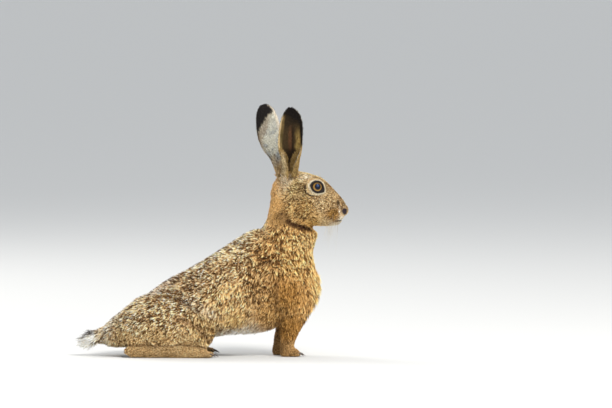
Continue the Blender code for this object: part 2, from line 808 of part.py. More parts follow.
def main():
    clear_scene()
    parts = new_collection("brown_hare")
    shop = new_collection("cutters")
    flesh = fused_flesh(shop)
    shells = [ear_shell(name, shop) for name in SIDES]
    rims = [lid_rims(side, shop) for side in SIDES.values()]
    boolean(flesh, shells + rims, "UNION", shop)
    boolean(flesh, face_cutters(flesh, shop), "DIFFERENCE", shop)
    keep_largest(flesh)
    for name, bm in blocks():
        piece = part_off(flesh, name, bm, shop)
        finish_node(piece, name, NODE_MATERIALS[name.split("_")[0]], shop, parts)
    finish_node(flesh, "torso", "coat", shop, parts)
    for name, side in SIDES.items():
        finish_node(eye_ball("eye", side, 0.0, shop), f"eye_{name}", "eye", shop, parts)
    for k, (root, tip) in enumerate(claw_axes()):
        finish_node(claw(root, tip, 0.0, shop), f"claw_{k + 1:02d}", "claw", shop, parts)
    centre_on_origin(parts)


main()
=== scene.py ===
"""Looks of a brown hare that sits upright with its head and ears raised.

Lengths in the tables are millimetres in the animal's own frame: x to the nose, y to its left, z up.
"""
import math

import bmesh
import bpy
import numpy as np
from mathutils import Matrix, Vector
from mathutils.bvhtree import BVHTree
from mathutils.kdtree import KDTree


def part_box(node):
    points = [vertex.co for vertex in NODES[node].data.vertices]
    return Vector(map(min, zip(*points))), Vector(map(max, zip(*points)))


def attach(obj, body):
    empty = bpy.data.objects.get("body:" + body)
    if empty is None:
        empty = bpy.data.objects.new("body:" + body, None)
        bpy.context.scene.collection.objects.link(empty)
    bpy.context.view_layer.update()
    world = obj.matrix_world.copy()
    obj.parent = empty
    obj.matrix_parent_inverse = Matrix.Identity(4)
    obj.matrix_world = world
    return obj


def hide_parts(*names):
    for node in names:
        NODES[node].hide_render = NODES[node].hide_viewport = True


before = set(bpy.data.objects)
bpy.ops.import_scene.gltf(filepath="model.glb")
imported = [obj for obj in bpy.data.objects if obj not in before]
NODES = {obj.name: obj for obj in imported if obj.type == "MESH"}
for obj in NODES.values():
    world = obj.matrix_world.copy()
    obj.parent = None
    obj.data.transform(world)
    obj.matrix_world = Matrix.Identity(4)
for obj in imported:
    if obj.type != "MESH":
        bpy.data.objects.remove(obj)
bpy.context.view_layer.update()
MM = 0.001
RNG = np.random.default_rng(7)

EYE_AT = (170.0, 16.8, 287.8)
EYE_RADIUS = 10.6
EYE_FORWARD = 14.0
EYE_UPWARD = 6.0
LID_LONG = 11.6
LID_HIGH = 8.9
LID_TILT = -17.0
PUPIL = 4.9
IRIS = 8.0
# Turn from the lids' long axis in degrees, outer edge of the dark lids in millimetres, and reach of the
# pale ring round them in units of the opening
LID_FROM = -14
LID_TURN, LID_OUTER, LID_RING = np.array([
    (-14, 15.9, 1.64), (8, 12.9, 1.46), (27, 11.5, 1.41), (66, 11.3, 1.5), (107, 10.9, 1.72),
    (153, 12.1, 1.62), (184, 13.3, 1.42), (199, 12.2, 1.55), (229, 11.2, 1.84), (255, 10.8, 1.74),
    (281, 10.8, 1.56), (316, 12.0, 1.5), (346, 15.9, 1.64),
]).T.copy()

low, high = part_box("eye_right")
SHIFT = np.array([(low[0] + high[0]) / 2 / MM - EYE_AT[0], 0.0, 0.0])

EAR_LENGTH = 129.0
# Side, middle of the base, lean forward and outward and turn to the front in degrees, bow in millimetres
EARS = {
    "ear_right": (-1, (123.5, 14.5, 302.0), 1.2, 20.5, 6.0, 1.0),
    "ear_left": (1, (114.5, 14.5, 303.0), -15.4, 6.0, 12.0, -4.0),
}
# Share of the ear's length, then half width to the front and to the back
EAR_SHARE, EAR_FRONT, EAR_REAR = np.array([
    (-0.1, 12.0, 11.0), (0.12, 14.4, 12.0), (0.22, 15.2, 12.6), (0.29, 16.4, 13.9), (0.37, 18.4, 18.0),
    (0.46, 19.6, 19.8), (0.63, 21.0, 19.5), (0.8, 20.2, 16.0), (0.88, 17.4, 13.2), (0.94, 12.6, 9.4),
    (0.98, 7.0, 5.6), (1.00, 2.8, 2.4),
]).T.copy()
# The mouth: middle of its curve, how far it reaches forward and out, its turn to each side and its droop
MOUTH_AT = (203, 0, 232.6)
MOUTH_FORWARD = 21.5
MOUTH_OUT = 17.5
MOUTH_TURN = math.radians(100)
MOUTH_DROOP = 2.6

VOXEL = 1.25
SKIN_KEPT = 0.44
SWELLING = 0.35
EAR_DEPTH = 0.3
EAR_SPACING = 0.72
MOST_TUFTS = 39000
FEWEST_TUFTS = 20

# Places on the body, mirrored left to right. Each row: where (x, y out, z), the way the hair lies, how deep
# the coat is, how long and wide a tuft is, how far apart tufts stand, colour, share of dark tips, spread of
# tone
PLACES = {
    "bridge": ((212, 0, 272), (-.9, 0, .35), 0.7, 3.2, .4, .55, (.5, .325, .15), .4, .5),
    "snout": ((195, 15, 260), (-1, .1, -.05), 1, 3.4, .4, .55, (.52, .345, .16), .42, .55),
    "pad": ((201, 14, 241), (-.9, .3, -.35), 1, 3.4, .4, .55, (.276, .135, .027), .44, .5),
    "lip": ((214, 7, 235), (-.8, .2, -.6), 0.9, 3, .4, .52, (.52, .4, .24), 0, .15),
    "chin": ((200, 0, 222), (-1, 0, -.4), 2, 6, .45, .6, (.62, .54, .4), 0, .15),
    "chin_side": ((190, 12, 226), (-1, 0, -.3), 1.4, 5, .45, .6, (.5, .36, .18), .12, .25),
    "under_eye": ((180, 23, 264), (-1, 0, -.15), 1.2, 4, .42, .55, (.54, .37, .18), .44, .55),
    "cheek": ((155, 28, 252), (-1, 0, -.35), 2.2, 4.7, .48, .6, (.525, .318, .113), .46, .52),
    "cheek_rear": ((128, 28, 246), (-1, 0, -.55), 3, 5.6, .52, .66, (.475, .282, .101), .54, .56),
    "jaw": ((168, 14, 224), (-1, 0, -.35), 2.2, 5.2, .5, .65, (.489, .29, .09), .3, .42),
    "jaw_rear": ((143, 18, 222), (-1, 0, -.5), 2.6, 6.2, .55, .7, (.4, .235, .08), .32, .44),
    "forehead": ((165, 0, 309), (-1, 0, .15), 1.4, 4.6, .48, .6, (.721, .505, .235), .3, .42),
    "brow": ((160, 18, 306), (-1, 0, .2), 1.4, 4.4, .45, .58, (.66, .49, .27), .34, .44),
    "temple": ((143, 24, 286), (-.9, 0, .3), 1.9, 5.4, .48, .6, (.538, .371, .15), .62, .56),
    "crown": ((128, 0, 313), (-1, 0, -.1), 2.6, 7.5, .55, .7, (.47, .31, .125), .44, .4),
    "ear_root": ((118, 22, 300), (-.3, 0, 1), 1.5, 5.6, .48, .6, (.54, .41, .25), .12, .36),
    "behind_ear": ((97, 8, 292), (-.3, 0, -1), 3, 7.5, .55, .66, (.5, .3, .115), .02, .16),
    "nape": ((90, 0, 258), (-.25, 0, -1), 3.6, 8.5, .6, .72, (.52, .31, .12), .01, .16),
    "nape_side": ((96, 18, 262), (-.35, 0, -.95), 3.2, 8, .6, .72, (.46, .27, .095), .04, .2),
    "behind_cheek": ((112, 27, 240), (-.5, 0, -1), 3.4, 9, .65, .78, (.36, .21, .07), .2, .3),
    "throat_top": ((161, 0, 215), (.8, 0, -.6), 3, 14, .8, .9, (.5, .31, .12), .2, .4),
    "throat": ((166, 0, 205), (.35, 0, -1), 3, 13, .85, .95, (.57, .36, .145), .2, .42),
    "neck": ((118, 34, 212), (-.1, 0, -1), 5, 12, .85, .95, (.507, .288, .102), .5, .56),
    "neck_front": ((148, 26, 208), (.15, 0, -1), 4.4, 12, .85, .95, (.52, .314, .118), .3, .42),
    "withers": ((72, 0, 225), (-.7, 0, -.7), 5, 11.5, .85, 1, (.683, .455, .224), .36, .44),
    "shoulder": ((88, 47, 182), (-.35, 0, -.95), 5.5, 12.5, .9, 1, (.431, .243, .087), .56, .54),
    "breast_side": ((140, 38, 160), (.12, 0, -1), 5.5, 14, .9, 1.05, (.537, .314, .11), .32, .42),
    "breast": ((176, 0, 135), (.22, 0, -1), 7, 21, 1, 1.15, (.545, .346, .134), .08, .3),
    "low_breast": ((155, 0, 85), (-.3, 0, -.9), 6.5, 18, 1, 1.2, (.54, .33, .125), .08, .3),
    "upper_arm": ((118, 50, 112), (-.12, 0, -1), 4.5, 14, .9, 1.05, (.314, .163, .042), .12, .3),
    "elbow": ((95, 46, 75), (-.5, 0, -.85), 4.5, 13, .9, 1.1, (.37, .215, .072), .2, .34),
    "behind_arm": ((76, 50, 122), (-.35, 0, -.95), 6, 13, .9, 1, (.359, .21, .078), .36, .5),
    "forearm": ((125, 40, 48), (.05, 0, -1), 2, 8, .65, .82, (.261, .133, .033), .14, .34),
    "forepaw": ((128, 26, 8), (.9, 0, -.4), 1.2, 4.2, .48, .68, (.38, .23, .09), .1, .25),
    "back_front": ((40, 0, 205), (-.86, 0, -.5), 5.5, 11.5, .85, 1, (.84, .613, .339), .5, .52),
    "back_mid": ((-30, 0, 162), (-.87, 0, -.5), 5.5, 11.5, .85, 1, (.88, .612, .34), .54, .54),
    "back_rear": ((-90, 0, 128), (-.85, 0, -.5), 6, 12.5, .9, 1.05, (.534, .407, .284), .6, .56),
    "rump": ((-145, 0, 95), (-.82, 0, -.57), 7, 15, .95, 1.05, (.572, .429, .264), .5, .5),
    "rump_end": ((-185, 8, 55), (-.75, 0, -.65), 6.5, 16, .95, 1.05, (.6, .456, .288), .35, .42),
    "side": ((20, 46, 150), (-.72, 0, -.7), 5.8, 12.5, .88, 1, (.562, .355, .165), .5, .5),
    "side_rear": ((-50, 46, 130), (-.8, 0, -.6), 5.8, 12.5, .88, 1, (.595, .393, .201), .52, .5),
    "flank": ((25, 53, 105), (-.45, 0, -.9), 6.5, 17, .95, 1.1, (.55, .345, .145), .28, .48),
    "flank_low": ((35, 46, 66), (-.6, 0, -.75), 6.5, 17, 1, 1.15, (.407, .262, .1), .12, .34),
    "belly": ((40, 12, 45), (-.85, 0, -.3), 6.5, 15, 1.1, 1.4, (.72, .66, .56), 0, .15),
    "haunch_top": ((-75, 60, 108), (-.85, 0, -.5), 6, 12.5, .9, 1, (.749, .504, .258), .6, .54),
    "haunch": ((-85, 73, 68), (-.8, 0, -.6), 6, 12.5, .9, 1, (.714, .46, .221), .56, .52),
    "haunch_rear": ((-145, 58, 66), (-.75, 0, -.65), 6, 14, .95, 1.05, (.675, .462, .24), .44, .46),
    "knee": ((-12, 60, 42), (-.5, 0, -.9), 4, 11, .85, 1, (.5, .33, .14), .26, .4),
    "haunch_low": ((-90, 69, 38), (-.8, 0, -.6), 4, 11, .85, 1, (.46, .3, .13), .3, .4),
    "haunch_back": ((-155, 56, 36), (-.6, 0, -.8), 4, 11, .85, 1, (.46, .31, .14), .24, .36),
    "hock": ((-152, 56, 12), (-.2, 0, -.9), 1.8, 6, .65, .85, (.44, .29, .13), .12, .3),
    "foot_rear": ((-122, 60, 10), (1, 0, -.05), 1.6, 5.5, .55, .78, (.48, .32, .145), .1, .28),
    "foot_mid": ((-85, 62, 10), (1, 0, -.1), 1.5, 5.5, .55, .78, (.49, .33, .15), .08, .26),
    "foot_inner": ((-85, 42, 10), (1, 0, -.1), 1.5, 5.5, .55, .85, (.6, .47, .3), .04, .2),
    "foot_front": ((-48, 62, 9), (1, 0, -.15), 1.4, 5, .5, .75, (.49, .33, .15), .08, .26),
    "hind_toes": ((-12, 55, 6), (1, 0, -.2), 1.2, 4.2, .46, .68, (.48, .32, .15), .08, .25),
}
PLACE_AT = np.array([row[0] for row in PLACES.values()], float)
PLACE_LIE = np.array([row[1] for row in PLACES.values()], float)
PLACE_SIZES = np.array([row[2:6] + row[7:9] for row in PLACES.values()], float)
PLACE_COLOUR = np.array([row[6] for row in PLACES.values()], float)
DARK = np.array([.034, .017, .009])
GAIN = 1.33
WHITE = np.array([.8, .78, .68])


def unit(v):
    return v / np.maximum(np.linalg.norm(v, axis=-1, keepdims=True), 1e-9)


def flattened(v, normal):
    """The rows of v without their part along the normals."""
    return v - normal * np.sum(v * normal, axis=-1)[:, None]


def smooth(x, low, high):
    """0 below low, 1 above high, a soft step between; also falls where high is below low."""
    t = np.clip((x - low) / (high - low), 0.0, 1.0)
    return t * t * (3 - 2 * t)


def noise(p, size, seed=0):
    """Smooth value noise in space, from 0 to 1."""
    q = p / size + 1000.0
    cell = np.floor(q).astype(np.int64)
    f = q - cell
    f = f * f * (3 - 2 * f)
    total = np.zeros(len(p))
    for dx, dy, dz in np.ndindex(2, 2, 2):
        h = (cell[:, 0] + dx) * 73856093 ^ (cell[:, 1] + dy) * 19349663 ^ (cell[:, 2] + dz) * 83492791
        h = (h ^ (seed * 7919 + 13)) & 0xFFFFFF
        h = (h ^ (h >> 11)) * 2246822 & 0xFFFFFFF
        h = (h ^ (h >> 13)) * 326648 & 0xFFFFFFF
        value = ((h ^ (h >> 12)) % 65521) / 65521.0
        near = [f[:, k] if d else 1 - f[:, k] for k, d in enumerate((dx, dy, dz))]
        total += near[0] * near[1] * near[2] * value
    return total


def put_points(me, points):
    me.vertices.foreach_set("co", ((points + SHIFT) * MM).astype(np.float32).ravel())


def smooth_faces(me):
    me.polygons.foreach_set("use_smooth", np.ones(len(me.polygons), bool))


def mesh_from(name, points, loops, starts):
    """A mesh of points in millimetres, with all faces' corners in one list and each face's first one."""
    me = bpy.data.meshes.new(name)
    me.vertices.add(len(points))
    put_points(me, points)
    me.loops.add(len(loops))
    me.loops.foreach_set("vertex_index", loops.astype(np.int32))
    me.polygons.add(len(starts))
    me.polygons.foreach_set("loop_start", starts.astype(np.int32))
    me.update(calc_edges=True)
    smooth_faces(me)
    return me


def new_object(name, me):
    ob = bpy.data.objects.new(name, me)
    bpy.context.scene.collection.objects.link(ob)
    return ob


def fetched(items, key, width, kind):
    """What all items hold under a key, a row each."""
    values = np.empty(len(items) * width, kind)
    items.foreach_get(key, values)
    return values.reshape(-1, width)


def read_mesh(me):
    """Points in the animal's millimetres, and triangles."""
    me.calc_loop_triangles()
    points = fetched(me.vertices, "co", 3, np.float32).astype(float)
    return points / MM - SHIFT, fetched(me.loop_triangles, "vertices", 3, np.int32)


def tri_normals(points, tris):
    a, b, c = points[tris[:, 0]], points[tris[:, 1]], points[tris[:, 2]]
    return np.cross(b - a, c - a)


def gather(values, index, count):
    """Sum of rows of values into count bins."""
    return np.stack([np.bincount(index, values[:, k], count) for k in range(values.shape[1])], axis=1)


def point_normals(points, tris):
    face = tri_normals(points, tris)
    total = sum(gather(face, tris[:, k], len(points)) for k in range(3))
    return unit(total)


def paint(me, name, rgb):
    layer = me.attributes.new(name, "FLOAT_COLOR", "POINT")
    rgba = np.ones((len(rgb), 4), np.float32)
    rgba[:, :3] = rgb
    layer.data.foreach_set("color", rgba.ravel())


def applied(ob):
    """The mesh that an object's modifiers make; the object itself goes."""
    graph = bpy.context.evaluated_depsgraph_get()
    me = bpy.data.meshes.new_from_object(ob.evaluated_get(graph))
    bpy.data.objects.remove(ob)
    return me


def ear_frame(name):
    """Foot of an ear, and the ways along it, out of its open side and to its front margin."""
    side, (x, y, z), *angles, _ = EARS[name]
    forward, outward, turn = (math.radians(v) for v in angles)
    base = Vector((x, side * y, z))
    along = Vector((math.tan(forward), side * math.tan(outward), 1.0)).normalized()
    face = Vector((math.sin(turn), side * math.cos(turn), 0.0))
    opening = (face - along * face.dot(along)).normalized()
    ahead = opening.cross(along).normalized() * side
    return [np.array(v) for v in (base, along, opening, ahead)]


def ear_place(name, points):
    """Share along the ear, and place across it from -1 at the rear margin to 1 at the front one."""
    base, along, _, ahead = ear_frame(name)
    off = points - base
    share = off @ along / EAR_LENGTH
    across = off @ ahead - EARS[name][-1] * np.sin(np.pi * np.clip(share, 0, None))
    front = np.interp(share, EAR_SHARE, EAR_FRONT)
    rear = np.interp(share, EAR_SHARE, EAR_REAR)
    return share, np.where(across > 0, across / front, across / rear)


def eye_frame(side):
    """Middle of an eye, and the ways out of it, along its lids and across them."""
    centre = Vector((EYE_AT[0], side * EYE_AT[1], EYE_AT[2]))
    yaw, rise, tilt = (math.radians(v) for v in (EYE_FORWARD, EYE_UPWARD, LID_TILT))
    out = Vector((math.sin(yaw) * math.cos(rise), side * math.cos(yaw) * math.cos(rise), math.sin(rise)))
    level = Vector((out.y, -out.x, 0.0)).normalized() * side
    upright = level.cross(out) * side
    along = level * math.cos(tilt) + upright * math.sin(tilt)
    across = upright * math.cos(tilt) - level * math.sin(tilt)
    return [np.array(v) for v in (centre, out, along, across)]


def eye_place(points):
    """Distance from the middle of the nearer eye in units of its opening, and place along and across it."""
    best = np.full((3, len(points)), 99.0)
    for side in (-1, 1):
        centre, out, along, across = eye_frame(side)
        off = points - centre
        a, b = off @ along, off @ across
        apart = np.sqrt((a / LID_LONG) ** 2 + (b / LID_HIGH) ** 2) + 9 * (off @ out < -2)
        best = np.where(apart < best[0], (apart, a, b), best)
    return best


def lid_turn(degrees):
    return (degrees - LID_FROM) % 360 + LID_FROM


def blend(points):
    """Weights of the named places at each point, by distance."""
    p = points.copy()
    p[:, 1] = np.abs(p[:, 1])
    weights = np.empty((len(p), len(PLACE_AT)), np.float32)
    for k, at in enumerate(PLACE_AT):
        weights[:, k] = 1.0 / (np.sum((p - at) ** 2, axis=1) + 16.0) ** 2.2
    return weights / weights.sum(axis=1, keepdims=True)


def near_line(points, a, b):
    """Distance to the line from a to b, given as x, y out, z, on the nearer side."""
    p = points.copy()
    p[:, 1] = np.abs(p[:, 1])
    a, b = np.array(a, float), np.array(b, float)
    t = np.clip((p - a) @ (b - a) / ((b - a) @ (b - a)), 0, 1)
    return np.linalg.norm(p - a - t[:, None] * (b - a), axis=1)


def over(colour, other, share):
    return colour + (np.asarray(other) - colour) * share[:, None]


def layered(colour, *layers):
    """The colour under layers, each a colour and its share, laid on in turn."""
    for rgb, share in layers:
        colour = over(colour, rgb, share)
    return colour


def tail_share(points):
    return smooth(points[:, 0], -194, -206)


# Painted shade in folds, right and left alike: from (x, z), to (x, z), reach to each side, colour, share at
# the middle. They run behind the cheek, down the front of the shoulder, before the haunch and over the foot;
# the row from (-50, 96) to (-8, 78) is instead a pale band of the fur's own colour
FOLDS = (
    ((111, 244), (126, 232), 9.0, (.13, .07, .025), .75),
    ((124, 232), (144, 221), 6.6, (.07, .034, .012), 1.0),
    ((144, 222), (158, 217), 4.4, (.06, .028, .01), 1.0),
    ((58, 153), (98, 167), 4.0, (.16, .09, .035), .7),
    ((106, 140), (102, 84), 5.0, (.17, .09, .03), .7),
    ((-50, 96), (-8, 78), 14.0, (.6, .48, .32), .42),
    ((-64, 70), (-30, 56), 5.0, (.13, .075, .03), .65),
    ((-30, 56), (-8, 30), 6.0, (.15, .085, .035), .6),
    ((-150, 23), (-60, 23), 3.5, (.13, .075, .03), .7),
    ((-60, 23), (-22, 19), 3.5, (.13, .075, .03), .7),
)


def ear_looks(name, points, normals):
    """Colour and share of dark tips on an ear, on its open side and on its back."""
    share, across = ear_place(name, points)
    opening = ear_frame(name)[2]
    inside = smooth(normals @ opening, -0.15, 0.25)
    wave = noise(points, 7.0, 3) - 0.5
    fine = noise(points, 2.6, 4) - 0.5
    # The back: grey-white, tan at its foot, with a slanting black tip
    slant = share - .785 - .115 * across + wave * .07 + fine * .08
    tip_back = smooth(slant, -.035, .035) * (1 - smooth(across, .74, .86) * smooth(share, .985, .96))
    below_tip = smooth(share - .66 - .22 * across + wave * .1, -.05, .08)
    back = layered(
        np.array([.47, .455, .38]),
        ((.25, .26, .26), smooth(wave * 1.2 + fine * .8, -.1, .36) * smooth(share, .92, .5) * .85),
        ((.6, .58, .52), smooth(fine, .12, .4) * .45),
        ((.3, .23, .15), smooth(across, -.45, -.85) * smooth(share, .75, .55) * .6),
        ((.42, .3, .155), smooth(share + wave * .12, .34, .12)),
        ((.6, .52, .41), smooth(across, .72, .92) * .8),
        ((.27, .21, .14), below_tip * smooth(across, .95, .82) * .7),
        ((.1, .065, .035), smooth(across, -.84, -.95) * smooth(share, .28, .42)),
        ((.016, .013, .01), tip_back),
    )
    # The open side: dark olive brown with a reddish middle, an ochre front band and a pale thin rear rim
    middle = smooth(np.abs(across - .06 + wave * .2), .26, .04) * smooth(share, .82, .6)
    streak = smooth(fine + wave * .5, .1, .3) * smooth(across, .4, .6)
    rear = smooth(across, -.5, -.72) * smooth(share, .93, .82)
    vein = smooth(np.abs(across - .24 - .2 * (.55 - share)), .11, .03) * smooth(share, .78, .62)
    margin = smooth(across - .1 * smooth(share, .62, .54), .74, .86)
    # How wide the slit up the middle of the ear's foot opens; the slit holds painted shade where the rolled
    # edges meet
    slit = np.interp(share, (.1, .15, .25, .33, .42, .46), (.0, .05, .14, .4, .8, 1.4))
    foot = smooth(np.abs(across - .04) - slit + wave * .12, -.07, .09) * smooth(share, .56, .44)
    cup = layered(
        np.array([.075, .048, .022]),
        ((.17, .075, .035), middle * smooth(share, .3, .42) * .75),
        ((.15, .11, .04), smooth(across, -.5, -.74) * smooth(share, .88, .7) * smooth(share, .34, .44) * .8),
        ((.032, .023, .014), smooth(share + wave * .1, .6, .8) * .8),
        ((.42, .285, .095), smooth(across + wave * .26, .4, .62) * smooth(share, .76, .5)),
        ((.1, .06, .025), streak * smooth(share, .35, .5)),
        ((.34, .24, .1), smooth(across, -.62, -.78) * smooth(share, .6, .45) * .8),
        ((.26, .175, .07), rear * smooth(share, .58, .68) * .85),
        ((.022, .014, .008), vein * .8),
        ((.66, .5, .28), smooth(across, -.84, -.93) * smooth(share, .92, .84)),
        ((.016, .013, .01), smooth(share + .09 * across + wave * .08, .76, .91)),
        ((.018, .014, .011), margin * smooth(share, .4, .5)),
        ((.37, .25, .095), foot),
        # Painted shade in the slit up the middle of the ear's foot
        ((.028, .018, .01), (1 - foot) * smooth(share, .42, .34) * smooth(share, .1, .15) * .8),
        ((.58, .46, .27), smooth(across, -.3, -.8) * smooth(share, .39, .28) * smooth(share, .02, .12)),
    )
    black = np.where(inside > .5, smooth(share + .09 * across, .76, .91), tip_back)
    return over(back, cup, inside), .34 * (1 - black) * smooth(share, .45, .2)


def looks(points, normals, ear):
    """Colour, share of dark tips, spread of tone and bareness; ear names each point's ear, if any."""
    x, y, z = points.T
    out = np.abs(y)
    weights = blend(points)
    colour = weights @ PLACE_COLOUR
    fleck, spread = (weights @ PLACE_SIZES)[:, 4:].T.copy()
    broad = noise(points, 34.0, 1) - 0.5
    small = 2.5 * (noise(points, 4.0, 2) - 0.5)
    colour = colour * (1 + .22 * broad[:, None] * np.array([1.0, 1.05, 1.2]))
    head = smooth(z, 205, 225) * smooth(x, 92, 105)
    side_on = points * (1, 0, 1)
    # Painted shade along the folds, with one pale band of fur among them
    for (x0, z0), (x1, z1), reach, rgb, most in FOLDS:
        apart = near_line(side_on, (x0, 0, z0), (x1, 0, z1))
        fold = smooth(apart + 3 * broad + small, reach, reach * .3) * smooth(out, 4, 14)
        colour = over(colour, rgb, most * fold)
    # Round the eye: dark lids, a pale ring, and painted shade in the crease below it
    apart, a, b = eye_place(points)
    turn = lid_turn(np.degrees(np.arctan2(b, a)))
    wide = np.interp(turn, LID_TURN, LID_RING) + .08 * (noise(points, 3.0, 41) - .5)
    ring = smooth(apart, wide + .08, wide - .06) * smooth(apart, 1.02, 1.14) * head
    above = smooth(b, 3, 9)[:, None]
    behind = smooth(a, -2, -12)[:, None]
    pale = (1 - above) * (.8, .64, .38) + above * (.7, .52, .29)
    pale = pale * (1 - behind * (.2, .27, .36))
    colour = colour + (pale - colour) * ring[:, None]
    edge = np.interp(turn, LID_TURN, LID_OUTER)
    fleck = fleck * (1 - ring)
    spread = spread * (1 - .6 * ring)
    # Painted shade in the crease below the pale ring
    crease_shade_below = smooth(np.abs(apart - wide - .13), .17, .09) * smooth(np.abs(turn - 230), 58, 36)
    line_above = smooth(np.abs(apart - wide - .12), .14, .03) * smooth(b, -6.0, 2.0)
    # Snout: pale stripe behind the nostril, dark spot above it, white lips and chin
    spot = smooth(near_line(points, (208.5, 10, 258.5), (207.5, 10, 261.5)), 4.4, 2.0)
    stripe = smooth(near_line(side_on, (210.8, 0, 256), (211.2, 0, 240)), 1.7, .7) * smooth(out, 4, 8)
    grey = smooth(near_line(side_on, (214, 0, 237), (210, 0, 227)), 4.6, 1.8) * (1 - stripe)
    pad = smooth(np.hypot(x - 201, z - 241) + small, 10.5, 6.0) * smooth(out, 5, 9)
    rows = .5 + .5 * np.cos((x + .25 * z) * 2 * np.pi / 4.2)
    # Pale patch on the forehead and a dark one behind the eye
    brow = near_line(points, (149, 19, 304), (160, 16, 309)) + 5 * (noise(points, 5.0, 9) - .5)
    brow = smooth(brow, 9.0, 3.0)
    temple = near_line(points, (146, 24, 290), (141, 26, 270)) + 6 * (noise(points, 5.0, 10) - .5)
    # Tail: black above and white below and at its sides
    tail = smooth(x, -196, -204)
    fleck = fleck * (1 - .5 * brow) * (1 - tail)
    colour = layered(
        colour,
        ((.88, .78, .58), .8 * smooth(np.hypot(a, b) - edge, 2.6, 1.2) * ring),
        ((.035, .02, .01), crease_shade_below * head),
        ((.22, .14, .065), .55 * line_above * head),
        ((.06, .04, .022), .9 * spot),
        ((.78, .66, .46), .7 * stripe),
        ((.72, .65, .52), .75 * grey),
        ((.33, .19, .055), .6 * pad),
        ((.07, .035, .012), .35 * pad * rows * smooth(noise(points, 3.2, 44), .35, .6)),
        ((.72, .59, .4), .6 * brow),
        ((.2, .13, .06), .5 * smooth(temple, 9.0, 2.0)),
        (WHITE, tail),
        ((.04, .03, .022), tail * smooth(normals[:, 2], .45, .8) * smooth(out, 13, 8)),
    )
    for name in EARS:
        on = ear == name
        if on.any():
            colour[on], fleck[on] = ear_looks(name, points[on], normals[on])
            spread[on] = .25
    # The bare nose, the lids' dark edge and the line of the mouth
    bare = smooth(nose_apart(points), 1.12, .95)
    rim = smooth(np.hypot(a, b) + 40 * (apart > 3), edge + .5, edge - .4) * head
    colour = layered(
        colour,
        ((.026, .017, .022), bare),
        ((.022, .017, .015), rim),
        ((.05, .03, .025), smooth(mouth_apart(points), 1.6, .6)),
    )
    return np.clip(colour, .012, .9), np.clip(fleck, 0, 1), spread, np.maximum(bare, rim)


def nose_apart(points):
    """Distance from the bare nose's middle in units of its reach."""
    off = (points * (1, 0, 1) + np.abs(points) * (0, 1, 0) - (216.2, 6.2, 246.8)) / (6.2, 5.8, 6.0)
    return np.linalg.norm(off, axis=1)


def mouth_apart(points):
    """Distance in millimetres from the line of the mouth, measured up and down."""
    best = np.full(len(points), 99.0)
    near = np.where((points[:, 0] > 185) & (points[:, 2] < 250) & (points[:, 2] > 215))[0]
    p = points[near]
    ring = p - MOUTH_AT
    angle = np.abs(np.arctan2(ring[:, 1] / MOUTH_OUT, ring[:, 0] / MOUTH_FORWARD))
    level = MOUTH_AT[2] - MOUTH_DROOP * (angle / MOUTH_TURN) ** 1.5
    best[near] = np.abs(p[:, 2] - level) + 9 * smooth(angle, math.radians(92), math.radians(104))
    return best


def flesh_mesh():
    """All nodes of flesh as one mesh, each swollen a little so that they fuse, and each face's node."""
    names = [n for n in sorted(NODES) if not n.startswith(("claw", "eye"))]
    all_points, all_tris, owner, count = [], [], [], 0
    for k, name in enumerate(names):
        points, tris = read_mesh(NODES[name].data)
        _, first, back = np.unique(np.round(points, 3), axis=0, return_index=True, return_inverse=True)
        tris = back.reshape(-1)[tris]
        points = points[first]
        tris = tris[(tris != np.roll(tris, 1, axis=1)).all(axis=1)]
        points = points + point_normals(points, tris) * SWELLING
        all_points.append(points)
        all_tris.append(tris + count)
        owner.append(np.full(len(tris), k))
        count += len(points)
    return names, np.concatenate(all_points), np.concatenate(all_tris), np.concatenate(owner)


names, solid_points, solid_tris, solid_owner = flesh_mesh()
solid_tree = BVHTree.FromPolygons(solid_points.tolist(), solid_tris.tolist())


def owners(points):
    """Index of the node of flesh nearest to each point."""
    find = solid_tree.find_nearest
    return np.array([solid_owner[find(p)[2]] for p in points.tolist()])


def edge_pairs(me):
    """Both ends of every edge, each edge given in both directions."""
    ends = fetched(me.edges, "vertices", 2, np.int32)
    return np.concatenate([ends, ends[:, ::-1]])


def relax(values, links, share):
    """Values at a mesh's points, moved by a share towards the mean of their neighbours."""
    count = np.maximum(np.bincount(links[:, 0], minlength=len(values)), 1)[:, None]
    mean = gather(values[links[:, 1]], links[:, 0], len(values)) / count
    return values + (mean - values) * share


def make_skin():
    """All flesh fused into one closed mesh, evened out, and thinned less on the head than elsewhere."""
    loops = solid_tris.ravel()
    me = mesh_from("flesh", solid_points, loops, np.arange(0, len(loops), 3))
    ob = new_object("flesh", me)
    remesh = ob.modifiers.new("fuse", "REMESH")
    remesh.mode = "VOXEL"
    remesh.voxel_size = VOXEL * MM
    fused = applied(ob)
    points, _ = read_mesh(fused)
    links = edge_pairs(fused)
    # The snout is smoothed less than the rest
    held = smooth(points[:, 2], 225, 250) * smooth(points[:, 0], 150, 190)
    gain = (1 - .45 * held)[:, None]
    for _ in range(22):
        points = points + (relax(points, links, .5) - points) * gain
        points = points + (relax(points, links, -.52) - points) * gain
    put_points(fused, points)
    ob = new_object("skin", fused)
    group = ob.vertex_groups.new(name="keep")
    on_head = points[:, 2] > 215
    group.add(np.where(on_head)[0].tolist(), 1.0, "REPLACE")
    thin = ob.modifiers.new("thin", "DECIMATE")
    thin.ratio = SKIN_KEPT
    thin.vertex_group = "keep"
    thin.invert_vertex_group = True
    thin.vertex_group_factor = 4.0
    return applied(ob)


skin_mesh = make_skin()
skin_points, skin_tris = read_mesh(skin_mesh)
skin_links = edge_pairs(skin_mesh)


def relaxed(values, steps):
    """Values at the skin's points, evened out between neighbours."""
    for _ in range(steps):
        values = relax(values, skin_links, .6)
    return values


skin_owner = owners(skin_points)
skin_ear = np.full(len(skin_owner), "", "<U9")
for name in EARS:
    share = ear_place(name, skin_points)[0]
    skin_ear[(skin_owner == names.index(name)) & (share > 0.02)] = name
outer_normals = unit(relaxed(point_normals(skin_points, skin_tris), 3))

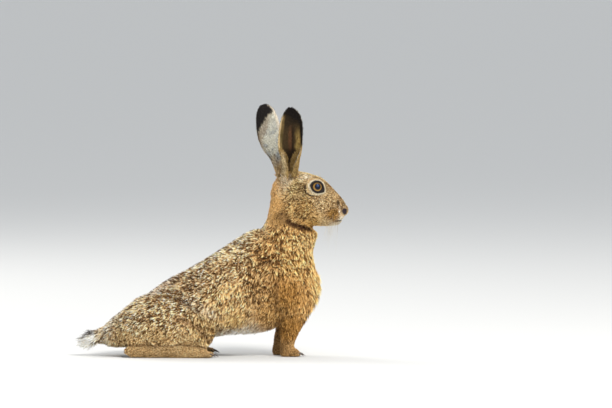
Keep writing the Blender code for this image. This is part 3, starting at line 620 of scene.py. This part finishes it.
# The skin lies as deep as the coat, with a furrow along the mouth
depth = (blend(skin_points) @ PLACE_SIZES)[:, 0]
depth *= smooth(eye_place(skin_points)[0], 1.15, 1.7)
depth *= smooth(nose_apart(skin_points), 1.0, 1.7)
tail = tail_share(skin_points)
depth = depth * (1 - tail) + 8.0 * tail
depth[skin_ear != ""] = EAR_DEPTH
depth[skin_points[:, 2] < 1.5] *= 0.3
depth = relaxed(depth[:, None], 10)[:, 0]
depth[skin_ear != ""] = EAR_DEPTH
skin_points = skin_points - outer_normals * (depth + SWELLING)[:, None]
furrow = 1.5 * np.exp(-(mouth_apart(skin_points) / 1.1) ** 2)
skin_points = skin_points - outer_normals * furrow[:, None]
skin_points[:, 2] = np.maximum(skin_points[:, 2], 0.0)
put_points(skin_mesh, skin_points)
smooth_faces(skin_mesh)
skin_mesh.update()
skin_normals = unit(relaxed(point_normals(skin_points, skin_tris), 1))
skin_colour, _, _, skin_bare = looks(skin_points, skin_normals, skin_ear)
under = .62 + .38 * np.maximum(np.maximum(skin_bare, (skin_ear != "") * .8), skin_points[:, 0] < -200)
paint(skin_mesh, "coat", skin_colour * under[:, None])
layer = skin_mesh.attributes.new("bare", "FLOAT", "POINT")
layer.data.foreach_set("value", skin_bare.astype(np.float32))
skin = new_object("skin", skin_mesh)


def scatter():
    """The triangle of each tuft's root, with more roots where the coat's tufts stand close."""
    a, b, c = (skin_points[skin_tris[:, k]] for k in range(3))
    face = np.cross(b - a, c - a)
    area = np.linalg.norm(face, axis=1) / 2
    middle = (a + b + c) / 3
    spacing = (blend(middle) @ PLACE_SIZES)[:, 3]
    ear = skin_ear[skin_tris[:, 0]] != ""
    spacing = np.where(ear, EAR_SPACING, spacing)
    spacing = np.where(middle[:, 0] < -198, 0.66, spacing)
    normal = unit(face)
    grow = smooth(eye_place(middle)[0], 1.1, 1.22)
    grow *= smooth(nose_apart(middle), 1.0, 1.15)
    grow *= smooth(mouth_apart(middle), .6, 1.2)
    grow[(middle[:, 2] < 1.0) & (normal[:, 2] < -.5)] = 0
    below = (normal[:, 2] < -.6) & (middle[:, 2] < 60)
    grow[below] *= .55
    count = RNG.poisson(area / spacing ** 2 * grow)
    return np.repeat(np.arange(len(count)), count)


def places_in(which):
    """A random place in each of these triangles of the skin, and the skin's normal there."""
    u, v = RNG.random(len(which)), RNG.random(len(which))
    flip = u + v > 1
    u, v = np.where(flip, 1 - u, u), np.where(flip, 1 - v, v)
    shares = np.stack([1 - u - v, u, v], axis=1)
    corners = skin_tris[which]
    point = np.einsum("nk,nkc->nc", shares, skin_points[corners])
    return point, unit(np.einsum("nk,nkc->nc", shares, skin_normals[corners]))


root_tri = scatter()
RNG.shuffle(root_tri)
roots, root_normals = places_in(root_tri)
root_ear = skin_ear[skin_tris[root_tri, 0]]
root_owner = skin_owner[skin_tris[root_tri, 0]]
n = len(roots)
in_ear = root_ear != ""

# Some tufts each lead a lock, which takes in the tufts nearest to it; the locks stand so far apart
on_head = smooth(roots[:, 2], 215, 228) * (roots[:, 0] > 88)
lock_apart = 1.85 - (.3 + .45 * smooth(eye_place(roots)[0], 3.2, 2.2)) * on_head
lock_apart = lock_apart + .5 * smooth(roots[:, 0], 125, 155) * smooth(roots[:, 2], 190, 175)
lock_apart = lock_apart - .8 * smooth(roots[:, 2], 26, 18)
own_spacing = np.where(in_ear, EAR_SPACING, (blend(roots) @ PLACE_SIZES)[:, 3])
leaders = np.where(RNG.random(n) < (own_spacing / lock_apart) ** 2)[0]
tree = KDTree(len(leaders))
key = roots + root_normals * np.where(in_ear, 12.0, 2.0)[:, None]
for k, i in enumerate(leaders):
    tree.insert(key[i], k)
tree.balance()
find = tree.find
lock = np.array([find(p)[1] for p in key.tolist()])

lead_points, lead_normals = roots[leaders], root_normals[leaders]
weights = blend(lead_points)
lie = weights @ PLACE_LIE
lie[:, 1] *= np.sign(lead_points[:, 1])
sizes = weights @ PLACE_SIZES
lead_ear = root_ear[leaders]
for name in EARS:
    on = lead_ear == name
    _, along, _, ahead = ear_frame(name)
    _, across = ear_place(name, lead_points[on])
    lie[on] = along + ahead * (0.45 * across * np.abs(across))[:, None]
    sizes[on, :4] = (0.9, 3.4, .42, EAR_SPACING)
near_tail = tail_share(lead_points)
lie = lie * (1 - near_tail)[:, None] + np.array([-1.0, 0.0, -.1]) * near_tail[:, None]
sizes[:, :3] = sizes[:, :3] * (1 - near_tail)[:, None] + np.array([8.5, 14.0, .7]) * near_tail[:, None]
round_eye = smooth(eye_place(lead_points)[0], 2.1, 1.3)
sizes[:, :3] *= (1 - .55 * round_eye)[:, None]
ragged = smooth(lead_points[:, 0], 135, 165) * smooth(lead_points[:, 2], 185, 165) + near_tail * 1.2
# A slow swirl and a small turn of each lock
swirl = (noise(lead_points, 26.0, 21) - .5) * .9 + (noise(lead_points, 9.0, 22) - .5) * .3
turned = RNG.normal(0, .13, len(leaders)) + swirl * np.where(lead_ear != "", .3, .8 - .45 * on_head[leaders])
lie = unit(flattened(lie, lead_normals))
beside = np.cross(lead_normals, lie)
lie = unit(lie * np.cos(turned)[:, None] + beside * np.sin(turned)[:, None])

colour, fleck, spread, _ = looks(lead_points, lead_normals, lead_ear)
lead_tone = RNG.normal(0, 1, len(leaders))
patch = noise(lead_points, 5.5, 31) * .6 + noise(lead_points, 12.0, 32) * .4
dark_lock = RNG.random(len(leaders)) < fleck * smooth(patch, .28, .6) * (1.42 - .24 * on_head[leaders])
bend = RNG.normal(0, .07, len(leaders))

# Each tuft, from its own root and its lock's shape
d = lie[lock] + RNG.normal(0, .1, (n, 3))
d = unit(flattened(d, root_normals))
length = sizes[lock, 1] * RNG.uniform(.62, 1.12, n) * (1 + .12 * lead_tone[lock].clip(-1.5, 1.5))
length *= 1 - .38 * (1 - on_head) * (1 - ragged[lock].clip(0, 1))
coat = sizes[lock, 0] * (RNG.uniform(.55, 1.12, n) + .22 * lead_tone[lock].clip(-1, 2) * (.35 + ragged[lock]))
width = sizes[lock, 2] * RNG.uniform(.75, 1.25, n)
gather_share = (.42 - .12 * on_head) * np.where(in_ear, .6, 1.0) * RNG.uniform(.6, 1.1, n)
side_way = np.cross(root_normals, d)
spin = RNG.normal(0, .55, n)
flat = side_way * np.cos(spin)[:, None] + root_normals * np.sin(spin)[:, None]
to_lead = flattened(lead_points[lock] - roots, root_normals)

# Places along a tuft from root to tip, and its width at all but the last
ROWS = (0.0, 0.38, 0.74, 1.0)
WIDE = (0.75, 1.0, 0.72)
points = np.empty((n, 7, 3))
sway = bend[lock] * length
for r, t in enumerate(ROWS):
    rise = coat * (1 - (1 - t) ** 1.9) - .35 * (1 - t)
    centre = roots + d * (length * t * (1 - .06 * t))[:, None] + root_normals * rise[:, None]
    centre += to_lead * (gather_share * t ** 1.3)[:, None] + side_way * (sway * t * t)[:, None]
    if r < 3:
        half = flat * (width * WIDE[r] / 2)[:, None]
        points[:, 2 * r] = centre - half
        points[:, 2 * r + 1] = centre + half
    else:
        points[:, 6] = centre
points[..., 2] = np.maximum(points[..., 2], 0.15)

# On the head and ears each tuft has the colour of its own place, elsewhere that of its lock
base_colour = colour[lock]
fine = np.where(on_head > .5)[0]
base_colour[fine] = looks(roots[fine], root_normals[fine], root_ear[fine])[0]
base_colour *= GAIN * (1.09 - .09 * on_head)[:, None]
own = RNG.normal(0, 1, n)
lead_share, own_share = .6 - .28 * on_head, .46 + .12 * on_head
tone = 1 + 1.3 * spread[lock] * (lead_share * lead_tone[lock] + own_share * own).clip(-1.6, 2.0)
dark = dark_lock[lock] & (RNG.random(n) < .86)
dark |= RNG.random(n) < fleck[lock] * .12
dark = dark[:, None]
dark_tip = DARK * (1 + .5 * RNG.random((n, 1)))
on_ear = in_ear[:, None]
plain = base_colour * np.clip(tone, .22, 2.2)[:, None] ** np.array([1.0, 1.1, 1.3])
tuft_colour = np.empty((n, 4, 3))
tuft_colour[:, 0] = np.where(on_ear, base_colour * .8, base_colour * (.31, .195, .12))
low_part = np.where(on_ear, plain * .92, plain * .74 * np.array([1.0, .86, .66]))
tuft_colour[:, 1] = np.where(dark, plain * (.48, .38, .28), low_part)
tuft_colour[:, 2] = np.where(dark, plain * .06 + dark_tip * .8, plain * 1.08)
pale_tip = np.minimum(plain * np.where(on_ear, (1.08, 1.08, 1.08), (1.42, 1.54, 2.0)), .88)
tuft_colour[:, 3] = np.where(dark, dark_tip, pale_tip)
tuft_colour = np.clip(tuft_colour, .008, .92)


def atlas(at, normal):
    """Flat places in the unit square for roots: six charts, one for each way that the skin mostly faces."""
    axis = np.argmax(np.abs(normal), axis=1)
    way = axis * 2 + (normal[np.arange(len(normal)), axis] > 0)
    flat_at = np.zeros((len(at), 2))
    boxes = []
    for w in range(6):
        on = way == w
        if not on.any():
            continue
        axes = [k for k in range(3) if k != w // 2]
        q = at[on][:, axes]
        q = q - q.min(axis=0)
        flat_at[on] = q
        boxes.append((w, *(q.max(axis=0) + 6.0)))
    boxes.sort(key=lambda row: -row[2])

    def place(side):
        spots, x, y, shelf = {}, 0.0, 0.0, 0.0
        for w, wide, tall in boxes:
            if x + wide > side:
                x, y, shelf = 0.0, y + shelf, 0.0
            spots[w] = (x, y)
            x, shelf = x + wide, max(shelf, tall)
        return spots if y + shelf <= side else None

    side = max(max(b[1], b[2]) for b in boxes)
    while place(side) is None:
        side *= 1.03
    spots = place(side)
    for w, spot in spots.items():
        flat_at[way == w] += spot
    return .004 + flat_at / side * .988


# A tuft's patch of the map, the corners of its three faces, and its points' places in the patch
PATCH = 0.003
LOOP = np.array([0, 1, 3, 2, 2, 3, 5, 4, 4, 5, 6])
STARTS = np.array([0, 4, 8])
CORNER_U = np.array([0, 1, 0, 1, 0, 1, .5]) - .5
CORNER_V = np.repeat(ROWS, (2, 2, 2, 1)) - .5


def coat_piece(name, chosen):
    """One joined mesh of the chosen tufts."""
    pts = points[chosen].reshape(-1, 3)
    count = len(chosen)
    loops = (np.arange(count)[:, None] * 7 + LOOP).ravel()
    starts = (np.arange(count)[:, None] * 11 + STARTS).ravel()
    me = mesh_from(name, pts, loops, starts)
    paint(me, "coat", tuft_colour[chosen][:, [0, 0, 1, 1, 2, 2, 3]].reshape(-1, 3))
    centre = atlas(roots[chosen], root_normals[chosen])
    u = centre[:, 0:1] + CORNER_U * PATCH
    v = centre[:, 1:2] + CORNER_V * PATCH
    uv = np.stack([u[:, LOOP], v[:, LOOP]], axis=-1)
    layer = me.uv_layers.new(name="OFBake")
    layer.data.foreach_set("uv", uv.astype(np.float32).ravel())
    return new_object(name, me)


left = roots[:, 1] > 0
owner_name = np.array(names)[root_owner]
groups = {}
for name in names:
    on = owner_name == name
    if name in ("torso", "head", "neck"):
        groups[f"coat_{name}_left"] = on & left
        groups[f"coat_{name}_right"] = on & ~left
    else:
        groups[f"coat_{name}"] = on
coats = []
for name, on in groups.items():
    chosen = np.where(on)[0]
    if len(chosen) < FEWEST_TUFTS:
        continue
    if len(chosen) > MOST_TUFTS:
        ahead = roots[chosen, 0] > np.median(roots[chosen, 0])
        for end, part in (("_front", chosen[ahead]), ("_rear", chosen[~ahead])):
            coats.append((coat_piece(name + end, part), name))
    else:
        coats.append((coat_piece(name, chosen), name))


def ring_faces(rings, around, closed=False):
    """The quads between rings of points that follow each other; closed joins the last ring to the first."""
    faces = []
    for i in range(rings if closed else rings - 1):
        here, there = i * around, (i + 1) % rings * around
        for j in range(around):
            k = (j + 1) % around
            faces.append((here + j, here + k, there + k, there + j))
    return faces


def whiskers():
    """Long pale bristles from the pads beside the nose, drooping back, and a few over the eye."""
    skin_tree = BVHTree.FromPolygons(skin_points.tolist(), skin_tris.tolist())
    pts, loops, starts, shades = [], [], [], []
    sides, steps = 3, 9
    faces = ring_faces(steps + 1, sides) + [range(steps * sides, (steps + 1) * sides)]
    rng = np.random.default_rng(3)
    for side in (-1, 1):
        spots = []
        for row in range(4):
            for k in range(5):
                x = 207 - 4.0 * k + rng.normal(0, .6)
                z = 244.5 - 4.2 * row - .5 * k + rng.normal(0, .6)
                spots.append((x, z, rng.uniform(40, 64) * (1 - .05 * k)))
        spots += [(168 + 3 * k, 303 - k, rng.uniform(22, 32)) for k in range(4)]
        for x, z, reach in spots:
            hit, normal, _, _ = skin_tree.ray_cast(Vector((x, side * 60, z)), Vector((0, -side, 0)))
            if hit is None:
                continue
            rise, sag = (.5, .12) if z > 290 else (-.45, .5)
            out = np.array(normal)
            way = unit(out * .8 + np.array((-.3, side * .35, rise)) + rng.normal(0, .1, 3))
            droop = np.array((-.15, 0, -.95)) * (reach * sag) * rng.uniform(.8, 1.2)
            base = np.array(hit) - out * .6
            first = len(pts)
            for s in range(steps + 1):
                t = s / steps
                centre = base + way * reach * .72 * t + droop * t * t
                tangent = unit(way * reach * .72 + 2 * droop * t)
                across = unit(np.cross(tangent, (0.1, .2, 1.0)))
                up = np.cross(across, tangent)
                radius = .12 * (1 - t) ** .7 + .03
                for k in range(sides):
                    ang = 2 * math.pi * k / sides
                    pts.append(centre + (across * math.cos(ang) + up * math.sin(ang)) * radius)
                    shades.append((.25, .16, .08) if s < 2 else (.48, .35, .19) if s < 5 else (.74, .68, .55))
            for face in faces:
                starts.append(len(loops))
                loops += [first + corner for corner in face]
    me = mesh_from("whiskers", np.array(pts), np.array(loops), np.array(starts))
    paint(me, "coat", np.array(shades))
    return new_object("whiskers", me)


def closed_form(name, points, faces):
    """An object of quads with doubled points welded and all faces turned outwards."""
    faces = np.array(faces)
    me = mesh_from(name, np.array(points), faces.ravel(), np.arange(0, faces.size, 4))
    bm = bmesh.new()
    bm.from_mesh(me)
    bmesh.ops.remove_doubles(bm, verts=bm.verts, dist=1e-6)
    bmesh.ops.recalc_face_normals(bm, faces=bm.faces)
    bm.to_mesh(me)
    bm.free()
    smooth_faces(me)
    return new_object(name, me)


def make_eye(name, side):
    """The ball of the eye, with a clear bulge in front."""
    centre, out, along, across = eye_frame(side)
    pts = []
    rings, spokes = 40, 64
    for i in range(rings + 1):
        polar = math.pi * i / rings
        bulge = .75 * float(smooth(np.array(math.degrees(polar)), 62.0, 20.0))
        radius = EYE_RADIUS - .15 + bulge
        for j in range(spokes):
            turn = 2 * math.pi * j / spokes
            way = along * math.cos(turn) + across * math.sin(turn)
            way = out * math.cos(polar) + way * math.sin(polar)
            pts.append(centre + way * radius)
    faces = [face[::-side] for face in ring_faces(rings + 1, spokes)]
    return closed_form(name, pts, faces)


def lids(name, side):
    """The dark bare edge of both lids as one ring that hugs the eye, with a fold at the inner corner."""
    centre, out, along, across = eye_frame(side)
    pts = []
    count, section = 72, 10
    for k in range(count):
        turn = 2 * math.pi * k / count
        c, s = math.cos(turn), math.sin(turn)
        edge = float(np.interp(lid_turn(math.degrees(turn)), LID_TURN, LID_OUTER))
        wide = (1.3 + .35 * max(0.0, s) + .75 * abs(c) ** 4) * .8
        for q in range(section):
            ang = 2 * math.pi * q / section
            reach = edge - wide * (1 - math.cos(ang))
            aa, bb = reach * c, reach * s
            lift = math.sqrt(max(4.0, (EYE_RADIUS + .75) ** 2 - (aa * aa + bb * bb) * .8))
            height = lift + .95 * math.sin(ang) - .1
            pts.append(centre + out * height + along * aa + across * bb)
    return closed_form(name, pts, ring_faces(count, section, closed=True))


def fill(tree, made, inputs):
    """Sets a node's inputs, or links those for which another node's output is given."""
    for key, value in inputs.items():
        if isinstance(value, bpy.types.NodeSocket):
            tree.links.new(value, made.inputs[key])
        else:
            made.inputs[key].default_value = value


def node(tree, kind, inputs=(), **settings):
    made = tree.nodes.new(kind)
    for key, value in settings.items():
        setattr(made, key, value)
    fill(tree, made, dict(inputs))
    return made


def material(name):
    mat = bpy.data.materials.new(name)
    mat.use_nodes = True
    return mat, mat.node_tree, mat.node_tree.nodes["Principled BSDF"]


def attribute(tree, name, output):
    return node(tree, "ShaderNodeAttribute", attribute_name=name).outputs[output]


def own_place(tree):
    return node(tree, "ShaderNodeTexCoord").outputs["Object"]


def grain(tree, scale, detail=3.0):
    inputs = {"Vector": own_place(tree), "Scale": scale, "Detail": detail}
    return node(tree, "ShaderNodeTexNoise", inputs).outputs["Fac"]


def spread_over(tree, value, low, high, to_low=0.0, to_high=1.0):
    """The value's range from low to high, laid over the one from to_low to to_high."""
    inputs = {"Value": value, "From Min": low, "From Max": high, "To Min": to_low, "To Max": to_high}
    return node(tree, "ShaderNodeMapRange", inputs).outputs["Result"]


def maths(tree, operation, *inputs):
    return node(tree, "ShaderNodeMath", enumerate(inputs), operation=operation).outputs["Value"]


def vector(tree, operation, output, *inputs):
    return node(tree, "ShaderNodeVectorMath", enumerate(inputs), operation=operation).outputs[output]


def scaled(tree, colour, factor):
    inputs = {0: colour, "Scale": factor}
    return node(tree, "ShaderNodeVectorMath", inputs, operation="SCALE").outputs["Vector"]


def speckled(tree, colour, scale, low, high):
    """The colour times a noise from low to high."""
    return scaled(tree, colour, spread_over(tree, grain(tree, scale), .3, .7, low, high))


def coat_material(name, roughness):
    mat, tree, shader = material(name)
    colour = speckled(tree, attribute(tree, "coat", "Color"), 420.0, .86, 1.14)
    fill(tree, shader, {"Base Color": colour, "Roughness": roughness, "Specular IOR Level": .09})
    return mat


def skin_material():
    mat, tree, shader = material("hare_skin")
    colour = speckled(tree, attribute(tree, "coat", "Color"), 700.0, .7, 1.25)
    rough = spread_over(tree, attribute(tree, "bare", "Fac"), 0.0, 1.0, .75, .5)
    fill(tree, shader, {"Base Color": colour, "Roughness": rough, "Specular IOR Level": .12})
    relief = {"Strength": .5, "Distance": .0006, "Height": grain(tree, 900.0, 4.0)}
    fill(tree, shader, {"Normal": node(tree, "ShaderNodeBump", relief).outputs["Normal"]})
    return mat


def eye_material(side):
    """Black pupil, amber ring with a fine wobble at its edges, dark rim, by distance from the gaze line; with
    painted shade above from the lid, painted light below and a painted bluish reflection of the sky.
    """
    centre, out, along, across = eye_frame(side)
    mat, tree, shader = material("eye_left" if side > 0 else "eye_right")
    off = vector(tree, "SUBTRACT", "Vector", own_place(tree), tuple((centre + SHIFT) * MM))
    reach = vector(tree, "LENGTH", "Value", vector(tree, "CROSS_PRODUCT", "Vector", off, tuple(out)))
    wobble = maths(tree, "MULTIPLY_ADD", grain(tree, 900.0), .0009, -.00045)
    share = maths(tree, "DIVIDE", maths(tree, "ADD", reach, wobble), EYE_RADIUS * MM)
    pupil, iris = PUPIL / EYE_RADIUS, IRIS / EYE_RADIUS
    (first, first_rgb), *stops, (last, last_rgb) = (
        (0.0, (.006, .009, .018)), (pupil - .03, (.008, .011, .02)), (pupil + .02, (.1, .055, .018)),
        ((pupil + iris) / 2, (.42, .235, .06)), (iris - .06, (.26, .14, .04)),
        (iris + .005, (.02, .01, .006)), (.9, (.004, .003, .003)),
    )
    ramp = node(tree, "ShaderNodeValToRGB", {"Fac": share})
    elements = ramp.color_ramp.elements
    elements[0].position, elements[0].color = first, (*first_rgb, 1)
    elements[1].position, elements[1].color = last, (*last_rgb, 1)
    for at, rgb in stops:
        elements.new(at).color = (*rgb, 1)
    # Painted light below and painted shade above from the lid, and a painted bluish reflection of the sky
    height = vector(tree, "DOT_PRODUCT", "Value", off, tuple(across))
    lid_shaded_colour = scaled(tree, ramp.outputs["Color"], spread_over(tree, height, -.006, .006, 1.35, .4))
    sky_reflection_at = out * (EYE_RADIUS + .4) + across * 2.0 - along * .6
    away = vector(tree, "DISTANCE", "Value", off, tuple(sky_reflection_at * MM))
    painted_reflection_mix = {"Factor": spread_over(tree, away, .0034, .0012), "A": lid_shaded_colour, "B": (.035, .058, .13, 1)}
    colour = node(tree, "ShaderNodeMix", painted_reflection_mix, data_type="RGBA").outputs["Result"]
    fill(tree, shader, {"Base Color": colour, "Roughness": .05, "Specular IOR Level": .12})
    return mat


def dark_material(name, rgb, roughness, low=.7, high=1.3):
    mat, tree, shader = material(name)
    plain_rgb = node(tree, "ShaderNodeRGB").outputs[0]
    plain_rgb.default_value = (*rgb, 1)
    colour = speckled(tree, plain_rgb, 500.0, low, high)
    fill(tree, shader, {"Base Color": colour, "Roughness": roughness, "Specular IOR Level": .2})
    return mat


fur = coat_material("hare_fur", .58)
skin.data.materials.clear()
skin.data.materials.append(skin_material())
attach(skin, "root")
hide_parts(*names)
for ob, name in coats:
    ob.data.materials.append(fur)
    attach(ob, "root")
whisker_ob = whiskers()
whisker_ob.data.materials.append(coat_material("whisker", .35))
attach(whisker_ob, "root")
lid_material = dark_material("lid_edge", (.005, .004, .004), .5)
for side, eye_name in ((-1, "eye_right"), (1, "eye_left")):
    ball = make_eye("ball_" + eye_name[4:], side)
    ball.data.materials.append(eye_material(side))
    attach(ball, "root")
    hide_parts(eye_name)
    ring = lids("lids_" + eye_name[4:], side)
    ring.data.materials.append(lid_material)
    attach(ring, "root")
horn = dark_material("claw_horn", (.075, .055, .042), .38, .6, 1.5)
for name, ob in NODES.items():
    if name.startswith("claw"):
        ob.data.materials.clear()
        ob.data.materials.append(horn)

me = bpy.data.meshes.new("floor")
FLOOR = 160.0
corners = [(-FLOOR, -FLOOR, 0), (FLOOR, -FLOOR, 0), (FLOOR, FLOOR, 0), (-FLOOR, FLOOR, 0)]
me.from_pydata(corners, [], [(0, 1, 2, 3)])
floor = new_object("floor", me)
mat, tree, shader = material("floor")
fill(tree, shader, {"Base Color": (.66, .66, .645, 1), "Roughness": .9})
me.materials.append(mat)

world = bpy.data.worlds.new("studio")
bpy.context.scene.world = world
world.use_nodes = True
fill(world.node_tree, world.node_tree.nodes["Background"], {"Color": (.93, .96, 1.0, 1), "Strength": .8})


def area_light(name, at, towards, size, power, colour):
    data = bpy.data.lights.new(name, "AREA")
    data.shape = "DISK"
    data.size = size
    data.energy = power
    data.color = colour
    ob = new_object(name, data)
    ob.location = at
    ob.rotation_mode = "QUATERNION"
    ob.rotation_quaternion = (Vector(towards) - Vector(at)).to_track_quat("-Z", "Y")


area_light("key", (1.6, -2.6, 3.4), (0.05, 0, .2), 1.8, 185, (1.0, .97, .93))
area_light("back_light", (-2.4, 2.4, 2.6), (0, 0, .2), 2.0, 75, (1.0, .98, .95))

LENS = 400.0
SENSOR = 36.0
SEEN_WIDTH = 1.0404
camera_data = bpy.data.cameras.new("camera")
camera_data.lens = LENS
camera_data.sensor_width = SENSOR
camera_data.clip_end = 500.0
camera = new_object("camera", camera_data)
AIM = Vector((156.0 * MM, 0, 258.4 * MM))
LIFT = math.radians(2.5)
FAR = SEEN_WIDTH / SENSOR * LENS
camera.location = AIM + Vector((0, -math.cos(LIFT), math.sin(LIFT))) * FAR
camera.rotation_mode = "QUATERNION"
camera.rotation_quaternion = (AIM - camera.location).to_track_quat("-Z", "Y")
bpy.context.scene.camera = camera
bpy.context.scene.view_settings.view_transform = "Standard"
